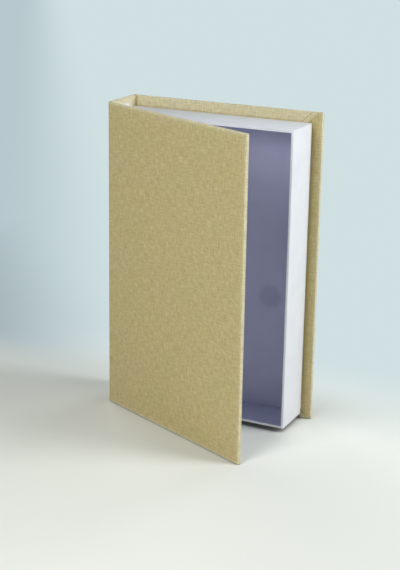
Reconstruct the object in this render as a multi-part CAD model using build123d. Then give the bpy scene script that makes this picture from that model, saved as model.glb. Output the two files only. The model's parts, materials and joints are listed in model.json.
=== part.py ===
from build123d import *
import os
from math import radians, tan

# Clamshell book box, standing on its tail edge with the front cover ajar.
# Millimetres. +X runs from the spine to the fore-edge, +Y from the front cover
# to the back cover and +Z from tail to head. The origin is the middle of the
# back cover's tail edge, on the surface that the box stands on.

# Room inside the tray.
inside_width = 154.5
inside_height = 243.0
inside_depth = 36.6

# Sheet materials.
case_board = 2.0
cloth = 0.35
tray_board = 1.6
tray_base_board = 2.0
tray_paper = 0.17
liner_paper = 0.17

# How far the case stands out past the tray.
head_square = 9.1
tail_square = 4.0
fore_edge_square = 9.1

# Clearances.
spine_gap = 0.6
closed_gap = 0.3
mitre_gap = 0.3

# Covering and lining.
turn_in = 18.0
mitre_offset = 8.5
tray_turn_under = 12.0
lining_tab = 15.0
liner_margin = 5.0
spine_liner_margin = 11.0

# Cloth joints at the spine's two long edges.
joint_round = 2.7
joint_lining_reach = 0.7
pivot_inset = 0.6
ajar_angle = 24.6

# Worked out from the sizes above.
tray_wall = tray_board + 2 * tray_paper
tray_width = inside_width + 2 * tray_wall
tray_height = inside_height + 2 * tray_wall
tray_depth = inside_depth + tray_base_board + 2 * tray_paper
cover_thickness = case_board + 2 * cloth
lined_thickness = cover_thickness + liner_paper
case_width = lined_thickness + spine_gap + tray_width + fore_edge_square
case_height = tail_square + tray_height + head_square
case_depth = lined_thickness + closed_gap + tray_depth + cover_thickness

# Planes of the closed case.
spine_face = -case_width / 2
fore_edge = case_width / 2
back_face = cover_thickness / 2
front_face = back_face - case_depth
back_inner = back_face - cover_thickness

# Outer faces of the tray.
tray_left = spine_face + lined_thickness + spine_gap
tray_right = tray_left + tray_width
tray_low = tail_square
tray_high = tray_low + tray_height
tray_rim = back_inner - tray_depth

# Vertical axes on which the two joints turn.
back_axis = (spine_face + pivot_inset, back_face - pivot_inset)
front_axis = (spine_face + pivot_inset, front_face + pivot_inset)


def slab(low, high):
    """Box between two opposite corners."""
    size = [b - a for a, b in zip(low, high)]
    middle = [(a + b) / 2 for a, b in zip(low, high)]
    return Pos(*middle) * Box(*size)


def wedge(centre, radius, start, turn, low, high):
    """Upright slice of a cylinder, from one angle through a turn."""
    arc = CenterArc((*centre, 0), radius, start, turn)
    face = make_face([Line((*centre, 0), arc @ 0), arc, Line(arc @ 1, (*centre, 0))])
    return Pos(0, 0, low) * extrude(face, high - low)


def bent_strip(centre, radius, thickness, start, turn, low, high):
    """Sheet bent round an upright axis, with its inner radius smaller by its thickness."""
    outside = wedge(centre, radius, start, turn, low, high)
    return outside - wedge(centre, radius - thickness, start, turn, low, high)


def turn_in_flap(points):
    """Flap of turned-in cloth with a flat outline in XZ, from Y 0 to one cloth towards -Y."""
    outline = Polyline(*[(x, 0, z) for x, z in points], close=True)
    return extrude(make_face(outline), cloth, dir=(0, -1, 0))


def cover_cloth():
    """Cloth of the back cover: outer face, three folded edges and their turn-ins."""
    left = spine_face + joint_round
    skin = slab((left, back_face - cloth, 0), (fore_edge, back_face, case_height))
    fold_low = back_inner + cloth
    fold_high = back_face - cloth
    skin += slab((left, fold_low, 0), (fore_edge, fold_high, cloth))
    skin += slab((left, fold_low, case_height - cloth), (fore_edge, fold_high, case_height))
    skin += slab((fore_edge - cloth, fold_low, 0), (fore_edge, fold_high, case_height))
    flap_left = left + joint_lining_reach
    inner_edge = fore_edge - turn_in
    cut = turn_in + mitre_offset
    slit = mitre_gap * 2 ** 0.5
    head_flap = [
        (flap_left, case_height),
        (fore_edge - mitre_offset - slit, case_height),
        (fore_edge - cut - slit, case_height - turn_in),
        (flap_left, case_height - turn_in),
    ]
    tail_flap = [(x, case_height - z) for x, z in head_flap]
    fore_flap = [
        (fore_edge - mitre_offset, case_height),
        (inner_edge, case_height - turn_in + mitre_offset),
        (inner_edge, turn_in - mitre_offset),
        (fore_edge - mitre_offset, 0),
        (fore_edge, 0),
        (fore_edge, case_height),
    ]
    for flap in (head_flap, tail_flap, fore_flap):
        skin += Pos(0, fold_low, 0) * turn_in_flap(flap)
    return skin


def cover_board():
    """Board of the back cover, one cloth inside its covering all round."""
    low = (spine_face + joint_round, back_inner + cloth, cloth)
    high = (fore_edge - cloth, back_face - cloth, case_height - cloth)
    return slab(low, high)


def lining_strip():
    """Lining cloth pasted down on the back cover beside its joint, between the turn-ins."""
    left = spine_face + joint_round + joint_lining_reach
    low = (left, back_inner, turn_in)
    high = (left + lining_tab, back_inner + cloth, case_height - turn_in)
    return slab(low, high)


def to_front(shape):
    """Turn a back cover piece into the front cover's, ajar on the front joint."""
    half_depth = (front_face + back_face) / 2
    closed = mirror(shape, Plane.XZ.offset(-half_depth))
    hinge = Pos(front_axis[0], front_axis[1], 0)
    return hinge * Rot(0, 0, -ajar_angle) * hinge.inverse() * closed


def joint(axis, side, bend):
    """Outer cloth and inner lining of a joint.

    axis is where the joint turns, side is +1 where the spine lies towards +Y of
    it and -1 where it lies towards -Y, and bend is the angle between its boards.
    """
    spread = 1 / tan(radians(bend / 2))
    start = 180 if side > 0 else 180 - bend

    def centre(reach):
        return (axis[0] + reach * spread, axis[1] + side * reach)

    outer_reach = joint_round - pivot_inset
    inner_reach = outer_reach + joint_lining_reach
    outer_radius = outer_reach * spread + pivot_inset
    lining_radius = inner_reach * spread + pivot_inset - cloth - case_board

    def lining(low, high):
        return bent_strip(centre(inner_reach), lining_radius, cloth, start, bend, low, high)

    skin = bent_strip(centre(outer_reach), outer_radius, cloth, start, bend, 0, case_height)
    for low in (0, case_height - cloth):
        fold = wedge(centre(outer_reach), outer_radius - cloth, start, bend, low, low + cloth)
        height = Pos(*centre(inner_reach), low + cloth / 2)
        skin += fold - height * Cylinder(lining_radius, cloth)
    skin += lining(0, turn_in)
    skin += lining(case_height - turn_in, case_height)
    return skin, lining(turn_in, case_height - turn_in)


# The case: three boards in one covering of cloth, which bends at two joints.
back_board = cover_board()
back_cloth = cover_cloth()
back_lining_tab = lining_strip()
front_board = to_front(cover_board())
front_cloth = to_front(cover_cloth())
front_lining_tab = to_front(lining_strip())

spine_front = front_face + joint_round
spine_back = back_face - joint_round
spine_inner = spine_face + cover_thickness
spine_board = slab(
    (spine_face + cloth, spine_front, cloth),
    (spine_inner - cloth, spine_back, case_height - cloth),
)
spine_cloth = slab((spine_face, spine_front, 0), (spine_face + cloth, spine_back, case_height))
for fold in (0, case_height - cloth):
    spine_cloth += slab(
        (spine_face + cloth, spine_front, fold),
        (spine_inner - cloth, spine_back, fold + cloth),
    )
lining_front = spine_front + joint_lining_reach
lining_back = spine_back - joint_lining_reach
for low in (0, case_height - turn_in):
    spine_cloth += slab(
        (spine_inner - cloth, lining_front, low),
        (spine_inner, lining_back, low + turn_in),
    )
spine_lining = slab(
    (spine_inner - cloth, lining_front, turn_in),
    (spine_inner, lining_back, case_height - turn_in),
)
spine_liner = slab(
    (spine_inner, front_face + cover_thickness + spine_liner_margin, liner_margin),
    (spine_inner + liner_paper, back_inner - spine_liner_margin, case_height - liner_margin),
)
back_joint_cloth, back_joint_lining = joint(back_axis, -1, 90)
front_joint_cloth, front_joint_lining = joint(front_axis, 1, 90 - ajar_angle)

# Paper liner of the front cover: its edges lie on the turn-ins and the lining
# tab, and its middle steps down onto the board.
liner_left = spine_face + joint_round + joint_lining_reach + liner_margin
liner_right = fore_edge - liner_margin
well_left = spine_face + joint_round + joint_lining_reach + lining_tab
well_right = fore_edge - turn_in
board_side = back_inner + cloth
paper_side = back_inner - liner_paper
front_liner = slab(
    (liner_left, paper_side, liner_margin),
    (liner_right, back_inner, case_height - liner_margin),
)
front_liner += slab(
    (well_left, paper_side, turn_in),
    (well_right, board_side, case_height - turn_in),
)
front_liner -= slab(
    (well_left + liner_paper, paper_side, turn_in + liner_paper),
    (well_right - liner_paper, board_side - liner_paper, case_height - turn_in - liner_paper),
)
front_liner = to_front(front_liner)

# The tray: a base board and four walls, wrapped in one strip of white paper
# that goes up the outside, over the rim and down the inside.
base_back = back_inner - tray_paper
base_front = base_back - tray_base_board
board_left = tray_left + tray_paper
board_right = tray_right - tray_paper
board_low = tray_low + tray_paper
board_high = tray_high - tray_paper
wall_front = tray_rim + tray_paper
tray_base = slab((board_left, base_front, board_low), (board_right, base_back, board_high))
tray_spine_wall = slab(
    (board_left, wall_front, board_low),
    (board_left + tray_board, base_front, board_high),
)
tray_fore_edge_wall = slab(
    (board_right - tray_board, wall_front, board_low),
    (board_right, base_front, board_high),
)
tray_tail_wall = slab(
    (board_left + tray_board, wall_front, board_low),
    (board_right - tray_board, base_front, board_low + tray_board),
)
tray_head_wall = slab(
    (board_left + tray_board, wall_front, board_high - tray_board),
    (board_right - tray_board, base_front, board_high),
)

tray_wrap = slab((tray_left, tray_rim, tray_low), (tray_right, back_inner, tray_high))
tray_wrap -= slab((board_left, wall_front, board_low), (board_right, base_back, board_high))
tray_wrap -= slab(
    (board_left + tray_turn_under, base_back, board_low + tray_turn_under),
    (board_right - tray_turn_under, back_inner, board_high - tray_turn_under),
)
tray_wrap += slab(
    (board_left + tray_board, wall_front, board_low + tray_board),
    (board_right - tray_board, base_front, board_high - tray_board),
)
inside_left = tray_left + tray_wall
inside_low = tray_low + tray_wall
tray_wrap -= slab(
    (inside_left, tray_rim, inside_low),
    (inside_left + inside_width, base_front, inside_low + inside_height),
)
tray_floor_liner = slab(
    (inside_left, base_front - tray_paper, inside_low),
    (inside_left + inside_width, base_front, inside_low + inside_height),
)

pieces = {
    "back_board": back_board,
    "back_cloth": back_cloth,
    "back_lining_tab": back_lining_tab,
    "back_joint_cloth": back_joint_cloth,
    "back_joint_lining": back_joint_lining,
    "spine_board": spine_board,
    "spine_cloth": spine_cloth,
    "spine_lining": spine_lining,
    "spine_liner": spine_liner,
    "front_joint_cloth": front_joint_cloth,
    "front_joint_lining": front_joint_lining,
    "front_board": front_board,
    "front_cloth": front_cloth,
    "front_lining_tab": front_lining_tab,
    "front_liner": front_liner,
    "tray_base": tray_base,
    "tray_spine_wall": tray_spine_wall,
    "tray_fore_edge_wall": tray_fore_edge_wall,
    "tray_head_wall": tray_head_wall,
    "tray_tail_wall": tray_tail_wall,
    "tray_wrap": tray_wrap,
    "tray_floor_liner": tray_floor_liner,
}

os.makedirs("parts", exist_ok=True)
for name, piece in pieces.items():
    export_step(piece, f"parts/{name}.step")

print("case", round(case_width, 2), round(case_depth, 2), round(case_height, 2))
print("back axis", [round(v, 3) for v in back_axis], "front axis", [round(v, 3) for v in front_axis])
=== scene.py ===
import json
import math

import bmesh
import bpy
from mathutils import Matrix, Vector
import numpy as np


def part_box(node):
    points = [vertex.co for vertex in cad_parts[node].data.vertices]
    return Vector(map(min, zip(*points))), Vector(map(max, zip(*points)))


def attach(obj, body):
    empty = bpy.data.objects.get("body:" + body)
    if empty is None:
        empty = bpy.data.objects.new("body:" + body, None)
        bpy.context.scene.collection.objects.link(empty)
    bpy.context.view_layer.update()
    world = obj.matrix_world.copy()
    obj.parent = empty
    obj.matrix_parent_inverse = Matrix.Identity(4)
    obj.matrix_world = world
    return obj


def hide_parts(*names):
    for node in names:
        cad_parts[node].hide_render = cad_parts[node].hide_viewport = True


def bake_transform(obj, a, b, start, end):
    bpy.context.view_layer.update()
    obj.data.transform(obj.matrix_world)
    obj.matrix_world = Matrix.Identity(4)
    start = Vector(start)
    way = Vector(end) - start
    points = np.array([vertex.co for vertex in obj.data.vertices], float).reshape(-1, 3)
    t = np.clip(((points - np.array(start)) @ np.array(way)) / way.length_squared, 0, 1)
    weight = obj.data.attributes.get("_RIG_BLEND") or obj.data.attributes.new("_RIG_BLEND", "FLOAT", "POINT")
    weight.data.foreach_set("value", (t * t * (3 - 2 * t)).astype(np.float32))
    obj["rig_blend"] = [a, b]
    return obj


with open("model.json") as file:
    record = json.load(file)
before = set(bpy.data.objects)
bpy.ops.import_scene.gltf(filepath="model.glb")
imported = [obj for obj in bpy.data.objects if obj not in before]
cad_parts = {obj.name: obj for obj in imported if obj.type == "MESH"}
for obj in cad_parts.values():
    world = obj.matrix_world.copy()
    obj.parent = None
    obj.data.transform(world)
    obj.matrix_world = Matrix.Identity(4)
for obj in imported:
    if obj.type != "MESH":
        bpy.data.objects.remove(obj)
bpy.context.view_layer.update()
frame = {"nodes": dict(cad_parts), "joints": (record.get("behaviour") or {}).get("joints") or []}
print("frame loaded:", len(frame["nodes"]), "nodes")

mm = 0.001

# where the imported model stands
backLow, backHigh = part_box("back_cloth")
spineLow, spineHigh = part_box("spine_cloth")
wrapLow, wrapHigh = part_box("tray_wrap")
trayLinerLow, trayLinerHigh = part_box("tray_floor_liner")
spineLinerLow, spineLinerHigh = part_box("spine_liner")
joints = {joint["name"]: joint for joint in frame["joints"]}
backAxis = Vector(joints["back_joint"]["pos_m"])
frontAxis = Vector(joints["front_joint"]["pos_m"])
ajar = math.radians(-joints["front_joint"]["range_deg"][0])

case = {
    "cloth": 0.35 * mm,  # bookcloth and its paper backing
    "paper": 0.17 * mm,
    "edgeRound": 0.75 * mm,  # cloth drawn over a board's edge
    "cornerRound": 1.0 * mm,  # seen from the front
    "turnIn": 18 * mm,
    "mitreOffset": 8.5 * mm,  # where the corner cut meets the head and tail edges
    "liningReach": 0.7 * mm,  # a joint's lining goes this far past its outer cloth
    "liningTab": 15 * mm,
    "linerMargin": 5 * mm,
    # tones of the cloth: 1 is as light as worn cloth at a folded edge; positive values are wear and painted
    # highlights, and -1 is painted dark with shade
    "turnInHighlight": 0.85,  # painted highlight on the cloth turned in at head and tail
    "highlightEnd": (1 * mm, 4 * mm),  # past the corner cut, where that tone ends under the lap
    # painted highlight on the spine's turn-ins, stronger within the reach below of head and tail
    "spineHighlight": 1.4,
    "spineHighlightReach": 10.8 * mm,  # in from head and tail
    "wallShade": 0.85,  # painted shade close to the tray's walls
    "wallShadeReach": (4.6 * mm, 1.8 * mm),  # across the fore-edge, and at head and tail
    "creaseShade": 1.9,  # painted shade on the inside of a cover, next to its joint
    "creaseStops": (0, 1.2 * mm, 3 * mm),  # from the joint, fading out by the last
    # rows of points, by their way in from an edge
    "outerRing": 9 * mm,
    "wornRings": ((3 * mm, 0.08), (0.87 * mm, 0.45)),  # with how worn the cloth is there
    "flatRings": (4.0, 4.6, 5.5, 6.5, 7.6, 8.5, 9.1),  # mm
    "columns": 21,  # points along a cover's head
    "rows": 26,  # points up a fore-edge or the spine
    "spineColumns": 8,
    "cornerSteps": 4,
}
coverThick = backHigh.y - backLow.y
caseHigh = backHigh.z
foreEdge = backHigh.x
coverLeft = backLow.x  # where a cover's cloth leaves its joint
pivotInset = backHigh.y - backAxis.y
jointRound = coverLeft - spineLow.x
frontFace = frontAxis.y - pivotInset
hinge = (
    Matrix.Translation(frontAxis)
    @ Matrix.Rotation(-ajar, 4, "Z")
    @ Matrix.Translation(-frontAxis)
)


def onBack(x, depth, z):
    # depth is measured from the outer face towards the inside of the box
    return Vector((x, backHigh.y - depth, z))


def onFront(x, depth, z):
    return hinge @ Vector((x, frontFace + depth, z))


def linear(hexColour):
    parts = [int(hexColour[i:i + 2], 16) / 255 for i in (1, 3, 5)]
    return [c / 12.92 if c <= 0.04045 else ((c + 0.055) / 1.055) ** 2.4 for c in parts] + [1.0]


def addNode(tree, kind, inputs=None, **settings):
    # an input is a value, or the socket to link to it
    node = tree.nodes.new(kind)
    node.location = (190 * (len(tree.nodes) % 12), -260 * (len(tree.nodes) // 12))
    for key, value in settings.items():
        setattr(node, key, value)
    for key, value in (inputs or {}).items():
        if isinstance(value, bpy.types.NodeSocket):
            tree.links.new(value, node.inputs[key])
        else:
            node.inputs[key].default_value = value
    return node


def addObject(name, data):
    thing = bpy.data.objects.new(name, data)
    bpy.context.scene.collection.objects.link(thing)
    return thing


def newMaterial(name):
    material = bpy.data.materials.new(name)
    material.use_nodes = True
    material.node_tree.nodes.clear()
    return material, material.node_tree


def finishMaterial(tree, shaderInputs):
    shader = addNode(tree, "ShaderNodeBsdfPrincipled", shaderInputs)
    addNode(tree, "ShaderNodeOutputMaterial", {"Surface": shader.outputs["BSDF"]})


# Woven linen bookcloth, khaki, backed with paper: matt, with uneven threads that
# give short lighter and darker streaks both ways, and paler where it is folded and worn.
# A tone per point also paints highlights on turn-ins, laps and the joints' lining,
# and painted shade in creases, next to the tray's walls and next to a lap's cut edge.
clothLook = {
    "thread": "#C2B17D",
    "threadDark": "#A69762",
    "threadLight": "#D7CCA1",
    "blush": "#C1AD86",  # faint warmer patches
    "olive": "#B7AF7B",  # faint greener patches
    # paler for worn edges, and a painted highlight on turn-ins, laps and the joints' lining
    "foldWear": "#E4DCBC",
    "paperAndLitEdge": "#EFEBDD",  # paper at a cut edge, also a painted highlight along a lap's lifted edge
    "paintedShade": "#86702F",  # painted shade: in creases, next to the tray's walls and next to a lap's cut edge
    "spacing": 0.8,  # mm from thread to thread; real 0.45, drawn coarser so that it shows
    "dip": 0.45,  # share of a thread's height, where it goes under another
    "swayScale": 0.11,  # per mm, how soon the threads stray
    "sway": 1.1,  # mm, how far
    "slubWidth": 1.1,  # mm
    "slubLength": 7,  # mm
    "patch": 38,  # mm
    "relief": 0.08,  # mm
    "roughness": 0.92,
}


def makeBookcloth():
    look = clothLook
    material, tree = newMaterial("khakiLinenBookcloth")
    uv = addNode(tree, "ShaderNodeUVMap", uv_map="weave")
    inMm = addNode(tree, "ShaderNodeVectorMath", {0: uv.outputs["UV"], 1: (1000, 1000, 1000)},
                   operation="MULTIPLY").outputs[0]
    sway = addNode(tree, "ShaderNodeTexNoise", {
        "Vector": inMm, "Scale": look["swayScale"], "Detail": 2.0}, noise_dimensions="2D")
    swayed = addNode(tree, "ShaderNodeVectorMath", {
        0: sway.outputs["Color"], 1: (look["sway"], look["sway"], 0), 2: inMm},
        operation="MULTIPLY_ADD").outputs[0]

    # plain weave: each thread is a rounded ridge that dips under every other crossing
    phase = addNode(tree, "ShaderNodeVectorMath", {
        0: swayed, 1: (math.pi / look["spacing"], math.pi / look["spacing"], 0)}, operation="MULTIPLY")
    wave = addNode(tree, "ShaderNodeVectorMath", {0: phase.outputs[0]}, operation="SINE").outputs[0]
    ridge = addNode(tree, "ShaderNodeVectorMath", {0: wave}, operation="ABSOLUTE").outputs[0]
    waves = addNode(tree, "ShaderNodeSeparateXYZ", {0: wave}).outputs
    ridges = addNode(tree, "ShaderNodeSeparateXYZ", {0: ridge}).outputs
    crossing = addNode(tree, "ShaderNodeMath", {0: waves["X"], 1: waves["Y"]}, operation="MULTIPLY")
    warpOver = addNode(tree, "ShaderNodeMath", {
        0: crossing.outputs[0], 1: 0.0}, operation="GREATER_THAN")
    threads = []
    for own, other in (("X", "Y"), ("Y", "X")):
        dip = addNode(tree, "ShaderNodeMath", {
            0: ridges[other], 1: look["dip"], 2: 1 - look["dip"]}, operation="MULTIPLY_ADD")
        threads.append(addNode(tree, "ShaderNodeMath", {
            0: ridges[own], 1: dip.outputs[0]}, operation="MULTIPLY").outputs[0])
    warp, weft = threads
    weave = addNode(tree, "ShaderNodeMix", {
        "Factor": warpOver.outputs[0], "A": weft, "B": warp}, data_type="FLOAT").outputs["Result"]

    # slubs: thicker and thinner lengths of thread, both ways
    slubs = []
    for across, along in (("slubWidth", "slubLength"), ("slubLength", "slubWidth")):
        stretched = addNode(tree, "ShaderNodeVectorMath", {
            0: swayed, 1: (1 / look[across], 1 / look[along], 1)}, operation="MULTIPLY")
        slubs.append(addNode(tree, "ShaderNodeTexNoise", {
            "Vector": stretched.outputs[0], "Scale": 1.0, "Detail": 1.5, "Roughness": 0.6},
            noise_dimensions="2D").outputs["Fac"])
    slub = addNode(tree, "ShaderNodeMix", {
        "Factor": 0.5, "A": slubs[0], "B": slubs[1]}, data_type="FLOAT").outputs["Result"]
    streak = addNode(tree, "ShaderNodeMapRange", {
        "Value": slub, "From Min": 0.35, "From Max": 0.65}).outputs["Result"]

    patch = addNode(tree, "ShaderNodeTexNoise", {
        "Vector": inMm, "Scale": 1 / look["patch"], "Detail": 3.0}, noise_dimensions="2D").outputs["Fac"]
    fold = addNode(tree, "ShaderNodeAttribute", attribute_name="fold").outputs["Fac"]
    # paper at cut edges, and on the laps a painted highlight along the lifted edge
    cut = addNode(tree, "ShaderNodeAttribute", attribute_name="cut").outputs["Fac"]
    worn = addNode(tree, "ShaderNodeMath", {0: streak, 1: 0.4, 2: 0.5}, operation="MULTIPLY_ADD")
    clothTone = addNode(tree, "ShaderNodeMath", {0: worn.outputs[0], 1: fold}, operation="MULTIPLY").outputs[0]

    # each tint is laid over the colour so far by its own share
    colour = linear(look["thread"])
    for tint, value, low, high, most in (
            ("blush", patch, 0.5, 0.72, 0.4), ("olive", patch, 0.48, 0.3, 0.35),
            ("threadDark", streak, 0.5, 0.0, 0.5), ("threadLight", streak, 0.55, 1.0, 0.45),
            # the dark tint by weave height is painted shade in the hollows between threads
            ("threadDark", weave, 0.45, 0.0, 0.25), ("paintedShade", fold, 0.0, -1.0, 0.75),
            ("foldWear", clothTone, 0.0, 1.0, 1.0),
            ("paperAndLitEdge", cut, 0.0, 1.0, 1.0)):
        share = addNode(tree, "ShaderNodeMapRange", {
            "Value": value, "From Min": low, "From Max": high, "To Max": most})
        colour = addNode(tree, "ShaderNodeMix", {
            "Factor": share.outputs["Result"], "A": colour, "B": linear(look[tint])},
            data_type="RGBA").outputs["Result"]

    height = addNode(tree, "ShaderNodeMath", {0: slub, 1: 1.6, 2: weave}, operation="MULTIPLY_ADD")
    bump = addNode(tree, "ShaderNodeBump", {
        "Height": height.outputs[0], "Strength": 0.7, "Distance": look["relief"] * mm})
    finishMaterial(tree, {
        "Base Color": colour, "Roughness": look["roughness"], "Specular IOR Level": 0.25,
        "IOR": 1.5, "Sheen Weight": 0.15, "Sheen Roughness": 0.5, "Normal": bump.outputs["Normal"]})
    return material


# Smooth white book paper, calendered: nearly even and matt, with a faint fibre
# cloud and the least unevenness where the pasting has drawn it down. Inside the tray it
# is painted greyer, darker and cooler as shade, with a faint round spot on its floor.
paperLook = {
    "sheet": "#ECEDF2",
    # painted shade: the inside of the tray is drawn in this greyer, darker tone
    "lining": "#B8B9D3",
    "cloud": "#F0F2F5",  # this and the two below darken the sheet by being multiplied in
    "fibre": "#F3F4F6",
    "spot": "#DCDDE6",
    "spotCentre": (46, 0, 103),  # mm
    "spotRadius": 9.5,  # mm
    "fibreSize": 0.9,  # mm
    "cloudSize": 14,  # mm
    "relief": 0.02,  # mm
    "roughness": 0.62,
}


def makePaper():
    look = paperLook
    material, tree = newMaterial("calenderedWhitePaper")
    place = addNode(tree, "ShaderNodeTexCoord")
    inMm = addNode(tree, "ShaderNodeVectorMath", {
        0: place.outputs["Object"], 1: (1000, 1000, 1000)}, operation="MULTIPLY").outputs[0]
    fibre = addNode(tree, "ShaderNodeTexNoise", {
        "Vector": inMm, "Scale": 1 / look["fibreSize"], "Detail": 4.0}).outputs["Fac"]
    cloud = addNode(tree, "ShaderNodeTexNoise", {
        "Vector": inMm, "Scale": 1 / look["cloudSize"], "Detail": 3.0}).outputs["Fac"]
    insideShade = addNode(tree, "ShaderNodeAttribute", attribute_name="insideShade").outputs["Fac"]
    flat = addNode(tree, "ShaderNodeVectorMath", {0: inMm, 1: (1, 0, 1)}, operation="MULTIPLY")
    away = addNode(tree, "ShaderNodeVectorMath", {
        0: flat.outputs[0], 1: look["spotCentre"]}, operation="DISTANCE").outputs["Value"]
    near = addNode(tree, "ShaderNodeMapRange", {
        "Value": away, "From Min": look["spotRadius"] * 1.3, "From Max": look["spotRadius"] * 0.75},
        interpolation_type="SMOOTHSTEP").outputs["Result"]
    spot = addNode(tree, "ShaderNodeMath", {0: near, 1: insideShade}, operation="MULTIPLY").outputs[0]
    colour = linear(look["sheet"])
    for tint, blend, value, low, high, most in (
            ("lining", "MIX", insideShade, 0.0, 1.0, 1.0), ("cloud", "MULTIPLY", cloud, 0.35, 0.7, 0.4),
            ("fibre", "MULTIPLY", fibre, 0.55, 0.8, 0.5), ("spot", "MULTIPLY", spot, 0.0, 1.0, 0.6)):
        share = addNode(tree, "ShaderNodeMapRange", {
            "Value": value, "From Min": low, "From Max": high, "To Max": most})
        colour = addNode(tree, "ShaderNodeMix", {
            "Factor": share.outputs["Result"], "A": colour, "B": linear(look[tint])},
            data_type="RGBA", blend_type=blend).outputs["Result"]
    height = addNode(tree, "ShaderNodeMath", {0: cloud, 1: 3.0, 2: fibre}, operation="MULTIPLY_ADD")
    bump = addNode(tree, "ShaderNodeBump", {
        "Height": height.outputs[0], "Strength": 0.5, "Distance": look["relief"] * mm})
    finishMaterial(tree, {
        "Base Color": colour, "Roughness": look["roughness"], "Specular IOR Level": 0.35,
        "IOR": 1.5, "Normal": bump.outputs["Normal"]})
    return material


# Dense grey binder's board, rolled: mottled grey-brown fibre, quite rough.
boardLook = {
    "pulp": "#8B867B",
    "fibreLight": "#A8A396",
    "fibreDark": "#6E695F",
    "fibre": 1.3,  # mm
    "relief": 0.05,  # mm
}


def makeGreyboard():
    look = boardLook
    material, tree = newMaterial("rolledGreyboard")
    place = addNode(tree, "ShaderNodeTexCoord")
    inMm = addNode(tree, "ShaderNodeVectorMath", {
        0: place.outputs["Object"], 1: (1000, 1000, 1000)}, operation="MULTIPLY").outputs[0]
    fibre = addNode(tree, "ShaderNodeTexNoise", {
        "Vector": inMm, "Scale": 1 / look["fibre"], "Detail": 6.0, "Roughness": 0.7}).outputs["Fac"]
    ramp = addNode(tree, "ShaderNodeValToRGB", {"Fac": fibre})
    ramp.color_ramp.elements[0].position = 0.32
    ramp.color_ramp.elements[0].color = linear(look["fibreDark"])
    ramp.color_ramp.elements[1].position = 0.7
    ramp.color_ramp.elements[1].color = linear(look["fibreLight"])
    ramp.color_ramp.elements.new(0.5).color = linear(look["pulp"])
    bump = addNode(tree, "ShaderNodeBump", {
        "Height": fibre, "Strength": 0.6, "Distance": look["relief"] * mm})
    finishMaterial(tree, {
        "Base Color": ramp.outputs["Color"], "Roughness": 0.9, "Specular IOR Level": 0.2,
        "IOR": 1.5, "Normal": bump.outputs["Normal"]})
    return material


bookcloth = makeBookcloth()
whitePaper = makePaper()
greyboard = makeGreyboard()
print("materials made")


def newPiece(name, mesh, material, body, nodes=()):
    # body is None for a piece that is then blended between two
    piece = addObject(name, mesh)
    mesh.materials.clear()
    mesh.materials.append(material)
    if body:
        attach(piece, body)
    if nodes:
        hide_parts(*nodes)
    return piece


def startSheet():
    build = bmesh.new()
    build.loops.layers.uv.new("weave")
    build.verts.layers.float.new("fold")
    build.verts.layers.float.new("cut")
    return build


def addGrid(build, rows):
    # rows of (point, uv, tone of wear and painted light, cut), laid as one sheet of quads
    uvLayer = build.loops.layers.uv["weave"]
    foldLayer = build.verts.layers.float["fold"]
    cutLayer = build.verts.layers.float["cut"]
    made = []
    for row in rows:
        line = []
        for point, uv, fold, cut in row:
            vert = build.verts.new(point)
            vert[foldLayer] = fold
            vert[cutLayer] = cut
            line.append((vert, uv))
        made.append(line)
    for rowA, rowB in zip(made, made[1:]):
        for a, b, c, d in zip(rowA, rowA[1:], rowB[1:], rowB):
            face = build.faces.new([corner[0] for corner in (a, b, c, d)])
            face.smooth = True
            for loop, corner in zip(face.loops, (a, b, c, d)):
                loop[uvLayer].uv = corner[1]


def endSheet(build, name, thickness, outward):
    # merges the rows, turns the faces to point outwards, and thickens the sheet inwards
    bmesh.ops.remove_doubles(build, verts=build.verts, dist=0.002 * mm)
    bmesh.ops.recalc_face_normals(build, faces=build.faces)
    outermost = max(build.faces, key=lambda face: face.calc_center_median().dot(outward))
    if outermost.normal.dot(outward) < 0:
        bmesh.ops.reverse_faces(build, faces=build.faces)
    mesh = bpy.data.meshes.new(name)
    build.to_mesh(mesh)
    build.free()
    return settle(mesh, name, thickness)


def settle(mesh, name, thickness=0, bevel=0):
    # the modifiers' result becomes the mesh, with its cut edges crisp
    work = addObject(name + ".work", mesh)
    if thickness:
        solid = work.modifiers.new("thickness", "SOLIDIFY")
        solid.thickness = thickness
        solid.offset = -1
        solid.use_even_offset = True
    if bevel:
        soften = work.modifiers.new("soften", "BEVEL")
        soften.width = bevel
        soften.segments = 3
        soften.limit_method = "ANGLE"
        soften.angle_limit = math.radians(40)
    graph = bpy.context.evaluated_depsgraph_get()
    done = bpy.data.meshes.new_from_object(
        work.evaluated_get(graph), preserve_all_data_layers=True, depsgraph=graph)
    bpy.data.objects.remove(work)
    done.name = name
    done.set_sharp_from_angle(angle=math.radians(35))
    return done


def spread(low, high, count):
    return [low + (high - low) * i / (count - 1) for i in range(count)]


def overEdge(arcSteps=5):
    # (inset, depth, place on the flat cloth, wear) over one folded edge, from outside to inside
    r = case["edgeRound"]
    t = coverThick
    steps = [(case["outerRing"], 0, 0)] + [(inset, 0, clothTone) for inset, clothTone in case["wornRings"]]
    for i in range(arcSteps + 1):
        a = math.pi / 2 * i / arcSteps
        steps.append((r * (1 - math.sin(a)), r * (1 - math.cos(a)), 1))
    for i in range(arcSteps + 1):
        a = math.pi / 2 * i / arcSteps
        steps.append((r * (1 - math.cos(a)), t - r * (1 - math.sin(a)), 1))
    steps += [(inset, t, clothTone) for inset, clothTone in reversed(case["wornRings"])]
    steps += [(inset * mm, t, 0) for inset in case["flatRings"]] + [(case["turnIn"], t, 0)]
    used = []
    run = steps[0][0]
    for i, (inset, depth, clothTone) in enumerate(steps):
        if i:
            run -= math.hypot(inset - steps[i - 1][0], depth - steps[i - 1][1])
        used.append((inset, depth, run, clothTone))
    return used


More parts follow.
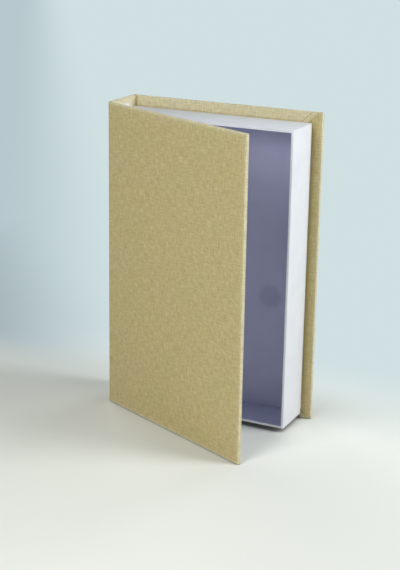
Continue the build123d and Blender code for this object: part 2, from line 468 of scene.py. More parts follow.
def paintedShadeAt(x, z, besideTray):
    # how much painted shade darkens the cloth inside a cover, next to its joint, and next to the tray on the
    # back one
    reachX, reachZ = case["wallShadeReach"]
    away = math.hypot(max(wrapLow.x - x, x - wrapHigh.x, 0) / reachX,
                      max(wrapLow.z - z, z - wrapHigh.z, 0) / reachZ) if besideTray else 1
    fromJoint = (x - coverLeft) / case["creaseStops"][-1]
    return max(case["wallShade"] * (1 - away), case["creaseShade"] * (1 - fromJoint), 0)


spineHalf = (spineHigh.y - spineLow.y) / 2
spineMiddle = (spineHigh.y + spineLow.y) / 2


def coverSheet(name, place, arcLength, side, outward):
    # the cloth of one cover: outer face, three folded edges and the turn-ins
    corner = case["cornerRound"]
    arc = case["cornerSteps"]
    build = startSheet()

    def weaveAt(x, z):
        return (side * (spineHalf + arcLength + x - coverLeft), z)

    def edgeStops(left, inset, reach):
        # along the head or tail edge; from the corner's lap on, the turn-in with its painted highlight is
        # covered
        shownTo, hiddenFrom = (foreEdge - case["mitreOffset"] - inset + past for past in case["highlightEnd"])
        stops = [left + stop for stop in case["creaseStops"]]
        stops = stops[:-1] + spread(stops[-1], shownTo, case["columns"] - 5)
        return [(x, 1) for x in stops] + [(x, 0) for x in spread(hiddenFrom, foreEdge - reach, 3)]

    def toneAt(x, z, clothTone, inner, shown=0):
        if not inner:
            return clothTone
        return clothTone + shown * max(0, case["turnInHighlight"] - clothTone) - paintedShadeAt(x, z, place is onBack)

    rings = []
    for inset, depth, run, clothTone in overEdge():
        left = coverLeft + (case["liningReach"] if depth > coverThick / 2 else 0)
        reach = max(inset, corner)
        inner = depth == coverThick
        ring = []
        for x, shown in edgeStops(left, inset, reach):
            ring.append((place(x, depth, inset), weaveAt(x, run),
                         toneAt(x, inset, clothTone, inner, shown), 0))
        for end in (0, 1):
            for i in range(1, arc):
                a = math.pi / 2 * (i / arc if end == 0 else 1 - i / arc)
                bend = max(corner - inset, 0)
                x = foreEdge - reach + bend * math.sin(a)
                z = reach - bend * math.cos(a)
                u = foreEdge - corner + (corner - run) * math.sin(a)
                v = corner - (corner - run) * math.cos(a)
                if end:
                    z, v = caseHigh - z, caseHigh - v
                ring.append((place(x, depth, z), weaveAt(u, v), clothTone, 0))
            if end == 0:
                for z in spread(reach, caseHigh - reach, case["rows"]):
                    ring.append((place(foreEdge - inset, depth, z), weaveAt(foreEdge - run, z),
                                 toneAt(foreEdge - inset, z, clothTone, inner), 0))
        for x, shown in reversed(edgeStops(left, inset, reach)):
            ring.append((place(x, depth, caseHigh - inset), weaveAt(x, caseHigh - run),
                         toneAt(x, caseHigh - inset, clothTone, inner, shown), 0))
        rings.append(ring)
    addGrid(build, rings)
    first = case["outerRing"]
    face = []
    for z in spread(first, caseHigh - first, case["rows"]):
        face.append([(place(x, 0, z), weaveAt(x, z), 0, 0)
                     for x, shown in edgeStops(coverLeft, first, first)])
    addGrid(build, face)
    return endSheet(build, name, case["cloth"], outward)


frontBend = math.pi / 2 - ajar
frontRadius = (jointRound - pivotInset) / math.tan(frontBend / 2) + pivotInset
arcLengths = {"back": jointRound * math.pi / 2, "front": frontRadius * frontBend}

outBack = Vector((0, 1, 0))
outFront = hinge.to_3x3() @ Vector((0, -1, 0))
covers = (  # name, where it lies, its side of the spine in the weave, the way out, body
    ("back", onBack, 1, outBack, "back_case"),
    ("front", onFront, -1, outFront, "front_cover"),
)
for name, place, side, outward, body in covers:
    piece = name + "CoverCloth"
    newPiece(piece, coverSheet(piece, place, arcLengths[name], side, outward),
             bookcloth, body, [name + "_cloth"])
print("cover cloths made")

# The fore-edge turn-in laps over the head and tail turn-ins along a 45 degree cut.
lap = {
    "lift": 0.3 * mm,  # at its cut edge
    "fall": 1.7 * mm,  # how soon it lies flat
    "settle": 0.025 * mm,  # pressed into the cloth below by its far end
    "width": 6.5 * mm,
    "thickness": 0.12 * mm,
    "wrap": 1.2,  # how far round the edge, in units of its rounding, fading over the next
    "wrapFade": 0.9,
    "sunk": 0.03 * mm,  # where it has faded out
    "rows": 12,
    # painted highlight on the lap, fading out across its width
    "highlight": 0.8,
    "frayedAndLit": 0.55 * mm,  # the cut edge shows the paper and paler threads; this band is widened as a painted highlight along the lifted edge
    "weaveShift": 0.4 * mm,  # its threads don't line up with those below
    "past": (0.15, 0.35, 0.6, 0.9, 1.4, 2.2, 3.2, 4.4, 6.5),  # mm past the cut edge
    "start": (  # (past the cut edge, height, tone, cut) of its first rows
        (-0.75 * mm, -0.06 * mm, -0.3, 0),  # the cloth next to the edge is painted dark, as the edge's shadow
        (-0.6 * mm, 0.03 * mm, -1, 0),
        (-0.02 * mm, 0.03 * mm, -1, 0),
        (0.0, 0.06 * mm, 0.4, 1),
        (0.02 * mm, 0.22 * mm, 0.4, 1),
    ),
}


def lapHeight(past):
    # height of the lapped cloth at a distance past its cut edge
    return lap["lift"] * math.exp(-past / lap["fall"]) - lap["settle"] * past / lap["width"]


def cornerLap(name, place, side, arcLength, head, outward):
    r = case["edgeRound"]
    build = startSheet()

    def point(x, along, lift):
        # along runs inwards from where the turn-in starts to lie flat
        if along >= 0:
            inset, depth, tilt = r + along, coverThick, 0
        else:
            tilt = min(-along / r, math.pi / 2)
            inset, depth = r - r * math.sin(tilt), coverThick - r + r * math.cos(tilt)
        inset -= lift * math.sin(tilt)
        depth += lift * math.cos(tilt)
        z = caseHigh - inset if head else inset
        return place(x, depth, z)

    steps = spread(-r * lap["wrap"], 0, 5)
    steps += spread(0.6 * mm, case["turnIn"] - case["mitreOffset"] - r, lap["rows"])
    rows = []
    for along in steps:
        edge = foreEdge - case["mitreOffset"] - r - along
        fade = min(1, max(0, (along + r * lap["wrap"]) / (r * lap["wrapFade"])))
        sunk = lap["sunk"] * (1 - fade)
        z = caseHigh - r - along if head else r + along
        across = spineHalf + arcLength + edge - coverLeft
        row = [(point(edge + past, along, lift * fade - sunk), (side * across, z), clothTone, cut)
               for past, lift, clothTone, cut in lap["start"]]
        for past in lap["past"]:
            past *= mm
            row.append((point(edge + past, along, lapHeight(past) * fade - sunk),
                        (side * (across + past), z + lap["weaveShift"]),
                        lap["highlight"] * (1 - (past / lap["width"]) ** 3),
                        0.9 * max(0, 1 - past / lap["frayedAndLit"])))
        rows.append(row)
    addGrid(build, rows)
    return endSheet(build, name, lap["thickness"], outward)


for name, place, side, outward, body in covers:
    for end in ("Head", "Tail"):
        piece = name + end + "Lap"
        newPiece(piece, cornerLap(piece, place, side, arcLengths[name], end == "Head", -outward),
                 bookcloth, body)
print("corner laps made")


def spineSheet():
    # the spine's cloth: outer face, and the folds and turn-ins at head and tail
    build = startSheet()
    over = overEdge()
    profile = []
    for inset, depth, run, clothTone in reversed(over):
        profile.append((depth, inset, run, clothTone))
    for z in spread(case["outerRing"], caseHigh - case["outerRing"], case["rows"])[1:-1]:
        profile.append((0, z, z, 0))
    for inset, depth, run, clothTone in over:
        profile.append((depth, caseHigh - inset, caseHigh - run, clothTone))
    rows = []
    for depth, z, run, clothTone in profile:
        trim = case["liningReach"] if depth > coverThick / 2 else 0
        # the spine's turn-ins take a painted highlight
        if depth == coverThick:
            near = min(z, caseHigh - z) < case["spineHighlightReach"]
            clothTone = max(clothTone, case["spineHighlight"] if near else case["turnInHighlight"])
        rows.append([(Vector((spineLow.x + depth, y, z)), (y - spineMiddle, run), clothTone, 0)
                     for y in spread(spineLow.y + trim, spineHigh.y - trim, case["spineColumns"])])
    addGrid(build, rows)
    return endSheet(build, "spineCloth", case["cloth"], Vector((-1, 0, 0)))


newPiece("spineCloth", spineSheet(), bookcloth, "spine", ["spine_cloth"])


def flatSheet(name, corner, across, up, outward, thickness, origin=(0, 0)):
    # a plain flat strip, from one corner along two edges
    build = startSheet()
    rows = []
    for v in spread(0, 1, 18):
        rows.append([(corner + across * u + up * v,
                      (origin[0] + across.length * u, origin[1] + up.length * v), 0, 0)
                     for u in spread(0, 1, 6)])
    addGrid(build, rows)
    return endSheet(build, name, thickness, outward)


liningUp = Vector((0, 0, caseHigh - 2 * case["turnIn"]))
newPiece(
    "spineLining",
    flatSheet("spineLining", Vector((spineHigh.x, spineLow.y + case["liningReach"], case["turnIn"])),
              Vector((0, 2 * spineHalf - 2 * case["liningReach"], 0)), liningUp,
              Vector((1, 0, 0)), case["cloth"], (-spineHalf, case["turnIn"])),
    bookcloth, "spine", ["spine_lining"])
tabLeft = coverLeft + case["liningReach"]
for name, place, side, outward, body in covers:
    piece = name + "LiningTab"
    corner, far = (place(x, coverThick, case["turnIn"]) for x in (tabLeft, tabLeft + case["liningTab"]))
    newPiece(
        piece,
        flatSheet(piece, corner, far - corner, liningUp, -outward, case["cloth"],
                  (spineHalf, case["turnIn"])),
        bookcloth, body, [name + "_lining_tab"])
print("spine and linings made")


def startTree(name, inputs):
    # a Geometry Nodes tree with named inputs: sizes, places and a material, which has no default
    tree = bpy.data.node_groups.new(name, "GeometryNodeTree")
    for label, value in inputs.items():
        kind = "Material" if value is None else "Vector" if isinstance(value, tuple) else "Float"
        socket = tree.interface.new_socket(name=label, in_out="INPUT", socket_type="NodeSocket" + kind)
        if value is not None:
            socket.default_value = value
    tree.interface.new_socket(name="Geometry", in_out="OUTPUT", socket_type="NodeSocketGeometry")
    return tree, addNode(tree, "NodeGroupInput").outputs


def endTree(tree, geometry, material):
    single = addNode(tree, "GeometryNodeRealizeInstances", {"Geometry": geometry})
    dressed = addNode(tree, "GeometryNodeSetMaterial", {
        "Geometry": single.outputs[0], "Material": material})
    addNode(tree, "NodeGroupOutput", {"Geometry": dressed.outputs[0]})
    return tree


strips = {
    "outerThick": 1.5 * mm,  # cloth turned in on itself
    "outerRounding": 0.74 * mm,
    "liningRounding": 0.16 * mm,
    "liningShort": 0.45 * mm,  # below the case's head and tail
    "crease": 0.12 * mm,  # pressed into the gap between the boards
    "creasePlace": 0.2,  # nearer to the cover (0) than to the spine (1)
    "creaseNarrow": 60,  # more is narrower
    "highlight": 1.4,  # painted highlight on the lining, as on the case's turn-ins
    "paintedTone": -2.1,  # painted shade in the crease
    "arcPoints": 25,
    "roundPoints": 6,
    "crisp": 50,  # degrees, sharper edges stay crisp
}


def jointStripTree():
    # sweeps a rounded strip section along an arc, with a crease pressed along it
    tree, given = startTree("jointStrip", {
        "Centre": (0, 0, 0), "Radius": 2.7 * mm, "Thickness": 1.5 * mm, "Start": math.pi / 2,
        "Bend": math.pi / 2, "Height": 0.26, "Rounding": 0.75 * mm, "Crease": 0.0,
        "Crease Place": 0.5, "Stain": 0.0, "Painted Highlight": 0.0, "Weave Start": 0.0, "Cloth": None})
    half = addNode(tree, "ShaderNodeMath", {0: given["Thickness"], 1: 0.5}, operation="MULTIPLY")
    line = addNode(tree, "ShaderNodeMath", {0: given["Radius"], 1: half.outputs[0]},
                   operation="SUBTRACT").outputs[0]
    arc = addNode(tree, "GeometryNodeCurveArc", {
        "Resolution": strips["arcPoints"], "Radius": line, "Start Angle": given["Start"],
        "Sweep Angle": given["Bend"]}, mode="RADIUS")
    along = addNode(tree, "GeometryNodeSplineParameter")
    middle = addNode(tree, "ShaderNodeMath", {
        0: along.outputs["Factor"], 1: given["Crease Place"]}, operation="SUBTRACT")
    square = addNode(tree, "ShaderNodeMath", {0: middle.outputs[0], 1: 2.0}, operation="POWER")
    narrow = addNode(tree, "ShaderNodeMath", {
        0: square.outputs[0], 1: -strips["creaseNarrow"]}, operation="MULTIPLY")
    bell = addNode(tree, "ShaderNodeMath", {0: narrow.outputs[0]}, operation="EXPONENT")
    kept = addNode(tree, "GeometryNodeCaptureAttribute", {"Geometry": arc.outputs["Curve"]},
                   domain="POINT")
    kept.capture_items.new("FLOAT", "Run")
    kept.capture_items.new("FLOAT", "Stain")
    tree.links.new(along.outputs["Length"], kept.inputs["Run"])
    tree.links.new(bell.outputs[0], kept.inputs["Stain"])
    press = addNode(tree, "ShaderNodeMath", {
        0: bell.outputs[0], 1: given["Crease"]}, operation="MULTIPLY")
    spot = addNode(tree, "GeometryNodeInputPosition")
    way = addNode(tree, "ShaderNodeVectorMath", {0: spot.outputs[0]}, operation="NORMALIZE")
    shift = addNode(tree, "ShaderNodeVectorMath", {0: way.outputs[0], "Scale": press.outputs[0]},
                    operation="SCALE")
    creased = addNode(tree, "GeometryNodeSetPosition", {
        "Geometry": kept.outputs["Geometry"], "Offset": shift.outputs[0]})
    upright = addNode(tree, "GeometryNodeSetCurveNormal", {"Curve": creased.outputs[0]}, mode="Z_UP")
    section = addNode(tree, "GeometryNodeCurvePrimitiveQuadrilateral", {
        "Width": given["Thickness"], "Height": given["Height"]})
    rounded = addNode(tree, "GeometryNodeFilletCurve", {
        "Curve": section.outputs["Curve"], "Radius": given["Rounding"], "Count": strips["roundPoints"],
        "Limit Radius": True}, mode="POLY")
    swept = addNode(tree, "GeometryNodeCurveToMesh", {
        "Curve": upright.outputs[0], "Profile Curve": rounded.outputs["Curve"], "Fill Caps": True})
    parts = addNode(tree, "ShaderNodeSeparateXYZ", {0: spot.outputs[0]})
    across = addNode(tree, "ShaderNodeMath", {0: given["Weave Start"], 1: kept.outputs["Run"]},
                     operation="SUBTRACT")
    tall = addNode(tree, "ShaderNodeMath", {0: given["Height"], 1: 0.5}, operation="MULTIPLY")
    level = addNode(tree, "ShaderNodeMath", {0: parts.outputs["Z"], 1: tall.outputs[0]}, operation="ADD")
    uv = addNode(tree, "ShaderNodeCombineXYZ", {"X": across.outputs[0], "Y": level.outputs[0]})
    named = addNode(tree, "GeometryNodeStoreNamedAttribute", {
        "Geometry": swept.outputs["Mesh"], "Name": "weave"}, data_type="FLOAT2", domain="CORNER")
    tree.links.new(uv.outputs[0], named.inputs["Value"])
    # painted shade in the crease, over the lining's painted highlight
    paintedTone = addNode(tree, "ShaderNodeMath", {
        0: kept.outputs["Stain"], 1: given["Stain"], 2: given["Painted Highlight"]}, operation="MULTIPLY_ADD")
    toneStored = addNode(tree, "GeometryNodeStoreNamedAttribute", {
        "Geometry": named.outputs[0], "Name": "fold", "Value": paintedTone.outputs[0]},
        data_type="FLOAT", domain="POINT")
    moved = addNode(tree, "GeometryNodeTransform", {
        "Geometry": toneStored.outputs[0], "Translation": given["Centre"]})
    smooth = addNode(tree, "GeometryNodeSetShadeSmooth", {"Geometry": moved.outputs[0]})
    return endTree(tree, smooth.outputs[0], given["Cloth"])


def fromTree(name, tree, values):
    # sets a tree's inputs by their identifiers and turns its result into a plain mesh
    holder = addObject(name + ".work", bpy.data.meshes.new(name + ".work"))
    modifier = holder.modifiers.new("build", "NODES")
    modifier.node_group = tree
    for item in tree.interface.items_tree:
        if item.in_out == "INPUT" and item.name in values:
            modifier[item.identifier] = values[item.name]
    graph = bpy.context.evaluated_depsgraph_get()
    mesh = bpy.data.meshes.new_from_object(
        holder.evaluated_get(graph), preserve_all_data_layers=True, depsgraph=graph)
    mesh.name = name
    bpy.data.objects.remove(holder)
    return mesh


jointStrip = jointStripTree()


def makeJoint(name, axis, direction, bend, bodies, nodes, weaveStart):
    # the outer cloth and the lining of one joint, each a strip that bends with it
    opening = 1 / math.tan(bend / 2)
    start = math.pi if direction > 0 else math.pi - bend
    outerReach = jointRound - pivotInset
    liningReach = outerReach + case["liningReach"]
    creasePlace = strips["creasePlace"] if direction < 0 else 1 - strips["creasePlace"]
    outer = {"Thickness": strips["outerThick"], "Rounding": strips["outerRounding"], "Height": caseHigh}
    lining = {
        "Thickness": case["cloth"], "Rounding": strips["liningRounding"],
        "Height": caseHigh - 2 * strips["liningShort"], "Crease": strips["crease"],
        "Crease Place": creasePlace, "Stain": strips["paintedTone"], "Painted Highlight": strips["highlight"]}
    # the strip's values, the way from its centre to the joint, its radius, and where it is blended
    for piece, values, reach, radius, within, node in (
            (name + "Cloth", outer, outerReach, outerReach * opening + pivotInset, 0, nodes[0]),
            (name + "Lining", lining, liningReach,
             liningReach * opening + pivotInset - coverThick + case["cloth"], case["cloth"], nodes[1])):
        centre = Vector((axis.x + reach * opening, axis.y + direction * reach, caseHigh / 2))
        mesh = fromTree(piece, jointStrip, {
            **values, "Centre": centre, "Radius": radius, "Start": start, "Bend": bend,
            "Weave Start": weaveStart, "Cloth": bookcloth})
        mesh.set_sharp_from_angle(angle=math.radians(strips["crisp"]))
        made = newPiece(piece, mesh, bookcloth, None, [node])
        ends = [centre + (radius - within) * Vector((math.cos(a), math.sin(a), 0))
                for a in (start, start + bend)]
        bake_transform(made, bodies[0], bodies[1], start=ends[0], end=ends[1])


makeJoint("backJoint", backAxis, -1, math.pi / 2, ("back_case", "spine"),
          ("back_joint_cloth", "back_joint_lining"), spineHalf + arcLengths["back"])
makeJoint("frontJoint", frontAxis, 1, frontBend, ("spine", "front_cover"),
          ("front_joint_cloth", "front_joint_lining"), -spineHalf)
print("joints made")


def smoothStep(low, high, value):
    t = min(1, max(0, (value - low) / (high - low)))
    return t * t * (3 - 2 * t)


coverLiner = {
    "bridge": 1.3 * mm,  # paper bridging the edge of a turn-in
    "thickness": 0.153 * mm,  # pressed a little thinner by the pasting
    "points": 14,
    "endReach": 14 * mm,  # more points near the corner laps
    "endPoints": 24,
}


def coverLinerSheet():
    # the front cover's liner, which shows the steps of the turn-ins, the tab and the laps below it
    left = coverLeft + case["liningReach"] + case["linerMargin"]
    right = foreEdge - case["linerMargin"]
    low = case["linerMargin"]
    high = caseHigh - low
    wellLeft = coverLeft + case["liningReach"] + case["liningTab"]
    wellRight = foreEdge - case["turnIn"]
    wellLow = case["turnIn"]
    wellHigh = caseHigh - case["turnIn"]
    lapHigh = case["turnIn"] - case["mitreOffset"]
    half = coverLiner["bridge"] / 2

    def stops(start, end, firstStep, secondStep):
        found = set(spread(start, end, coverLiner["points"]))
        for centre in (firstStep, secondStep):
            found |= {centre + half * k / 3 for k in range(-4, 5)}
        found |= set(spread(end - coverLiner["endReach"], end, coverLiner["endPoints"]))
        return sorted(v for v in found if start <= v <= end)

    columns = stops(left, right, wellLeft, wellRight)
    rows = stops(low, high, wellLow, wellHigh)
    mirrored = sorted(set(rows) | {caseHigh - z for z in rows})
    build = startSheet()
    sheet = []
    for z in mirrored:
        line = []
        for x in columns:
            down = (smoothStep(wellLeft - half, wellLeft + half, x)
                    * (1 - smoothStep(wellRight - half, wellRight + half, x))
                    * smoothStep(wellLow - half, wellLow + half, z)
                    * (1 - smoothStep(wellHigh - half, wellHigh + half, z)))
            inset = min(z, caseHigh - z)
            past = x - (foreEdge - case["mitreOffset"] - inset)
            under = 0
            if inset < lapHigh + half and past > -half:
                under = lapHeight(max(past, 0)) * smoothStep(-half, half * 0.3, past)
                under *= 1 - smoothStep(lapHigh - half, lapHigh + half, inset)
            depth = coverThick + case["paper"] + max(under, 0) - down * case["cloth"]
            line.append((onFront(x, depth, z), (x, z), 0, 0))
        sheet.append(line)
    addGrid(build, sheet)
    return endSheet(build, "coverLiner", coverLiner["thickness"], -outFront)


newPiece("coverLiner", coverLinerSheet(), whitePaper, "front_cover", ["front_liner"])
spineLinerSize = spineLinerHigh - spineLinerLow
newPiece(
    "spineLinerPaper",
    flatSheet("spineLinerPaper", Vector((spineLinerHigh.x, spineLinerLow.y, spineLinerLow.z)),
              Vector((0, spineLinerSize.y, 0)), Vector((0, 0, spineLinerSize.z)),
              Vector((1, 0, 0)), case["paper"]),
    whitePaper, "spine", ["spine_liner"])
print("liners made")


tray = {
    "wall": 1.94 * mm,  # board and the paper on both its faces
    "edgeRound": 0.28 * mm,
    "floorTrim": 0.05 * mm,  # the floor's sheet is cut a little short of the walls
    "insideShadeFrom": 1.89 * mm,  # the painted inside shade starts this far in from the outside
    "rim": 0.1 * mm,  # and this far below the rim
}


def trayWallTree():
    # one wall section swept round a rectangle
    tree, given = startTree("trayWalls", {
        "Width": 0.15, "Height": 0.24, "Depth": 0.04, "Wall": 0.002, "Middle": (0, 0, 0),
        "Paper": None})
    wide = addNode(tree, "ShaderNodeMath", {0: given["Width"], 1: given["Wall"]}, operation="SUBTRACT")
    tall = addNode(tree, "ShaderNodeMath", {0: given["Height"], 1: given["Wall"]}, operation="SUBTRACT")
    path = addNode(tree, "GeometryNodeCurvePrimitiveQuadrilateral", {
        "Width": wide.outputs[0], "Height": tall.outputs[0]})
    flat = addNode(tree, "GeometryNodeSetCurveNormal", {"Curve": path.outputs["Curve"]}, mode="Z_UP")
    # the section stands only at the square corners, so it is wider by the root of 2
    mitred = addNode(tree, "ShaderNodeMath", {0: given["Wall"], 1: math.sqrt(2)}, operation="MULTIPLY")
    section = addNode(tree, "GeometryNodeCurvePrimitiveQuadrilateral", {
        "Width": mitred.outputs[0], "Height": given["Depth"]})
    swept = addNode(tree, "GeometryNodeCurveToMesh", {
        "Curve": flat.outputs[0], "Profile Curve": section.outputs["Curve"]})
    stood = addNode(tree, "GeometryNodeTransform", {
        "Geometry": swept.outputs["Mesh"], "Translation": given["Middle"],
        "Rotation": (math.pi / 2, 0, 0)})
    return endTree(tree, stood.outputs[0], given["Paper"])


def markInsideShade(mesh):
    # the faces inside the tray are painted in the lining's darker tone, as shade
    insideShade = mesh.attributes.new("insideShade", "FLOAT", "FACE")
    low = wrapLow + tray["insideShadeFrom"] * Vector((1, 0, 1))
    high = wrapHigh - tray["insideShadeFrom"] * Vector((1, 0, 1))
    for face in mesh.polygons:
        spot = face.center
        if low.x < spot.x < high.x and low.z < spot.z < high.z and spot.y > wrapLow.y + tray["rim"]:
            insideShade.data[face.index].value = 1.0
    return mesh


floorTrim = tray["floorTrim"]
floorSize = trayLinerHigh - trayLinerLow
floorPaper = flatSheet(
    "trayFloorPaper", Vector((trayLinerLow.x + floorTrim, trayLinerLow.y, trayLinerLow.z + floorTrim)),
    Vector((floorSize.x - 2 * floorTrim, 0, 0)), Vector((0, 0, floorSize.z - 2 * floorTrim)),
    Vector((0, -1, 0)), case["paper"])
newPiece("trayFloorPaper", markInsideShade(floorPaper), whitePaper, "back_case",
         ["tray_floor_liner"])
wrapSize = wrapHigh - wrapLow
walls = fromTree("trayWrapPaper", trayWallTree(), {
    "Width": wrapSize.x, "Height": wrapSize.z, "Depth": wrapSize.y, "Wall": tray["wall"],
    "Middle": (wrapLow + wrapHigh) / 2, "Paper": whitePaper})
build = bmesh.new()
build.from_mesh(walls)
bmesh.ops.remove_doubles(build, verts=build.verts, dist=0.002 * mm)
bmesh.ops.recalc_face_normals(build, faces=build.faces)
for face in build.faces:
    face.smooth = True
build.to_mesh(walls)
build.free()
newPiece("trayWrapPaper", markInsideShade(settle(walls, "trayWrapPaper", bevel=tray["edgeRound"])),
         whitePaper, "back_case", ["tray_wrap"])
print("tray made")

# the boards keep their own solids
for node in ("back_board", "front_board", "spine_board", "tray_base", "tray_spine_wall",
             "tray_fore_edge_wall", "tray_head_wall", "tray_tail_wall"):
    board = frame["nodes"][node]
    board.data.materials.clear()
    board.data.materials.append(greyboard)

stage = {
    "near": "#F0F2EB",
    "far": "#D0E0E2",
    "turn": (-0.05, 0.15),  # m along Y, from the near colour to the far one
    # a direction along the floor, and from and to where (m) the change is made:
    "behind": ((1.03, 1.0, 0.0), -0.35, -0.02),  # the lamps' light gives way to an even one
    "notBefore": ((0.0, 1.0, 0.0), -0.01, 0.09),  # but not in front of the case
    "beside": ((-0.85, -0.54, 0.0), 0.035, 0.215),  # to the left, painted shade makes the colour deeper
    # the tone of that painted shade
    "side": "#B7C8CE",
    "reach": (0.32, 0.7),  # m from the middle, even all round from the far end on
    "radius": 9.0,  # m
    "drop": 0.05 * mm,  # below the case's tail
    "contact": 0.0075,  # m, how far the floor is darker beside and under what stands on it
    "contactOpen": (0.25, 0.75),  # how open the floor is at the darkest, and where it is clear
    "contactLeft": 0.3,  # share of the floor's colour at the darkest
    "contactShade": "#101010",
}


def seenShare(tree):
    # 1 for what the camera sees, straight or through gloss or glass, and 0 for the light on the part
    path = addNode(tree, "ShaderNodeLightPath").outputs
    straight = addNode(tree, "ShaderNodeMath", {
        0: path["Is Camera Ray"], 1: path["Is Glossy Ray"]}, operation="ADD").outputs[0]
    return addNode(tree, "ShaderNodeMath", {
        0: straight, 1: path["Is Transmission Ray"]}, operation="ADD", use_clamp=True).outputs[0]


# Matt studio background paper, rolled smooth: it shows no pattern, only a light tone
# that turns from warm to cool, and the soft shadow of what stands on it; painted shade
# deepens it to the left of the case and close beside and under what stands on it.
def makeFloor():
    material, tree = newMaterial("paleStudioPaper")
    place = addNode(tree, "ShaderNodeTexCoord").outputs["Object"]
    away = addNode(tree, "ShaderNodeVectorMath", {0: place}, operation="LENGTH").outputs["Value"]
    depth = addNode(tree, "ShaderNodeSeparateXYZ", {0: place}).outputs["Y"]
    steps = [(away, *stage["reach"]), (depth, *stage["turn"])]
    for way, low, high in (stage["behind"], stage["notBefore"], stage["beside"]):
        run = addNode(tree, "ShaderNodeVectorMath", {0: place, 1: way}, operation="DOT_PRODUCT")
        steps.append((run.outputs["Value"], low, high))
    around, turned, behind, notBefore, beside = [
        addNode(tree, "ShaderNodeMapRange", {
            "Value": value, "From Min": low, "From Max": high},
            interpolation_type="SMOOTHSTEP").outputs["Result"]
        for value, low, high in steps]
    far = addNode(tree, "ShaderNodeMath", {0: turned, 1: around}, operation="MAXIMUM").outputs[0]
    colour = addNode(tree, "ShaderNodeMix", {
        "Factor": far, "A": linear(stage["near"]), "B": linear(stage["far"])},
        data_type="RGBA").outputs["Result"]
    deep = addNode(tree, "ShaderNodeMath", {0: beside, 1: notBefore}, operation="MULTIPLY")
    colour = addNode(tree, "ShaderNodeMix", {
        "Factor": deep.outputs[0], "A": colour, "B": linear(stage["side"])},
        data_type="RGBA").outputs["Result"]
    openness = addNode(tree, "ShaderNodeAmbientOcclusion", {"Distance": stage["contact"]}, samples=16)
    shade = addNode(tree, "ShaderNodeMapRange", {
        "Value": openness.outputs["AO"], "From Min": stage["contactOpen"][0],
        "From Max": stage["contactOpen"][1], "To Min": stage["contactLeft"]},
        interpolation_type="SMOOTHSTEP").outputs["Result"]
    colour = addNode(tree, "ShaderNodeMix", {
        "Factor": shade, "A": linear(stage["contactShade"]), "B": colour},
        data_type="RGBA").outputs["Result"]
    back = addNode(tree, "ShaderNodeMath", {0: behind, 1: notBefore}, operation="MULTIPLY").outputs[0]
    even = addNode(tree, "ShaderNodeMath", {0: back, 1: around}, operation="MAXIMUM")
    share = addNode(tree, "ShaderNodeMath", {
        0: even.outputs[0], 1: seenShare(tree)}, operation="MULTIPLY")
    matt = addNode(tree, "ShaderNodeBsdfPrincipled", {
        "Base Color": colour, "Roughness": 0.9, "Specular IOR Level": 0.1})
    flat = addNode(tree, "ShaderNodeEmission", {"Color": colour, "Strength": 1.0})
    both = addNode(tree, "ShaderNodeMixShader", {
        0: share.outputs[0], 1: matt.outputs["BSDF"], 2: flat.outputs["Emission"]})
    addNode(tree, "ShaderNodeOutputMaterial", {"Surface": both.outputs["Shader"]})
    mesh = bpy.data.meshes.new("floor")
    build = bmesh.new()
    bmesh.ops.create_circle(build, cap_ends=True, radius=stage["radius"], segments=64)
    build.to_mesh(mesh)
    build.free()
    mesh.transform(Matrix.Translation((0, 0, -stage["drop"])))
    mesh.materials.append(material)
    addObject("floor", mesh)


makeFloor()

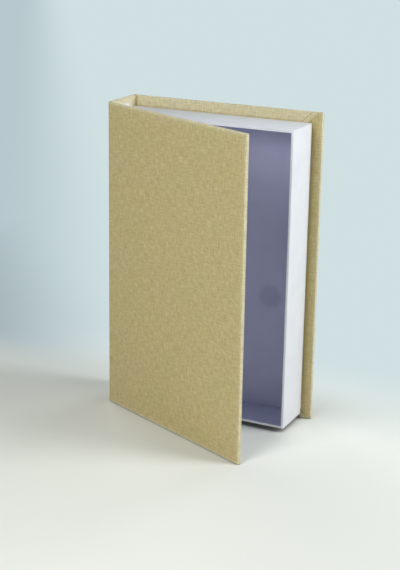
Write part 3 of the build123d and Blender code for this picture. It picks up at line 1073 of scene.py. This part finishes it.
lit = {
    "centre": Vector((-0.01, -0.03, 0.12)),
    "lamps": (  # name, degrees round from the front, degrees up, m away, m wide, watts, tint
        ("front", -5, 23, 0.84, 0.45, 2.8, "#FFFFFF"),
        ("frontHigh", -10, 38, 1.7, 0.75, 5.8, "#FFFFFF"),
        ("above", 0, 88, 1.7, 0.75, 2.6, "#DCF6FF"),
        ("right", 97, 31, 0.87, 0.45, 4.0, "#FFFFFF"),
        ("rightLow", 100, 22, 1.7, 0.75, 3.65, "#FFFFFF"),
        ("behindRight", 165, 22, 1.7, 0.75, 4.95, "#FFFFFF"),
        ("behindLeft", -130, 15, 1.7, 0.75, 6.0, "#FFFFFF"),
    ),
    "fill": "#C9D2E0",
    "fillStrength": 0.04,
}
for name, around, up, distance, width, watts, tint in lit["lamps"]:
    a, e = math.radians(around), math.radians(up)
    away = Vector((math.sin(a) * math.cos(e), -math.cos(a) * math.cos(e), math.sin(e)))
    light = bpy.data.lights.new(name, "AREA")
    light.shape = "DISK"
    light.size = width
    light.energy = watts
    light.color = linear(tint)[:3]
    lamp = addObject(name, light)
    lamp.location = lit["centre"] + away * distance
    lamp.rotation_euler = (-away).to_track_quat("-Z", "Y").to_euler()

world = bpy.data.worlds.new("softRoom")
world.use_nodes = True
room = world.node_tree
room.nodes.clear()
fill = addNode(room, "ShaderNodeBackground", {
    "Color": linear(lit["fill"]), "Strength": lit["fillStrength"]})
backdrop = addNode(room, "ShaderNodeBackground", {"Color": linear(stage["far"]), "Strength": 1.0})
either = addNode(room, "ShaderNodeMixShader", {
    0: seenShare(room), 1: fill.outputs[0], 2: backdrop.outputs[0]})
addNode(room, "ShaderNodeOutputWorld", {"Surface": either.outputs[0]})
bpy.context.scene.world = world
bpy.context.scene.view_settings.view_transform = "Standard"

view = {
    "target": (-10.276, -21.06, 109.411),  # mm
    "azimuth": 25.577,  # degrees round from the front
    "elevation": 16.992,
    "roll": 0.964,
    "distance": 1149.5,  # mm
    "lens": 86.954,  # mm
    "sensor": 36,  # mm, along the picture's long side
    "clip": (0.05, 30),  # m
}


def makeCamera():
    a, e, roll = (math.radians(view[key]) for key in ("azimuth", "elevation", "roll"))
    back = Vector((math.sin(a) * math.cos(e), -math.cos(a) * math.cos(e), math.sin(e)))
    right = Vector((math.cos(a), math.sin(a), 0))
    up = back.cross(right)
    right, up = (math.cos(roll) * right + math.sin(roll) * up,
                 math.cos(roll) * up - math.sin(roll) * right)
    data = bpy.data.cameras.new("camera")
    data.lens = view["lens"]
    data.sensor_width = view["sensor"]
    data.clip_start, data.clip_end = view["clip"]
    camera = addObject("camera", data)
    spot = Vector(view["target"]) * mm + back * view["distance"] * mm
    camera.matrix_world = Matrix.Translation(spot) @ Matrix((right, up, back)).transposed().to_4x4()
    bpy.context.scene.camera = camera


makeCamera()
print("floor, lights and camera made")
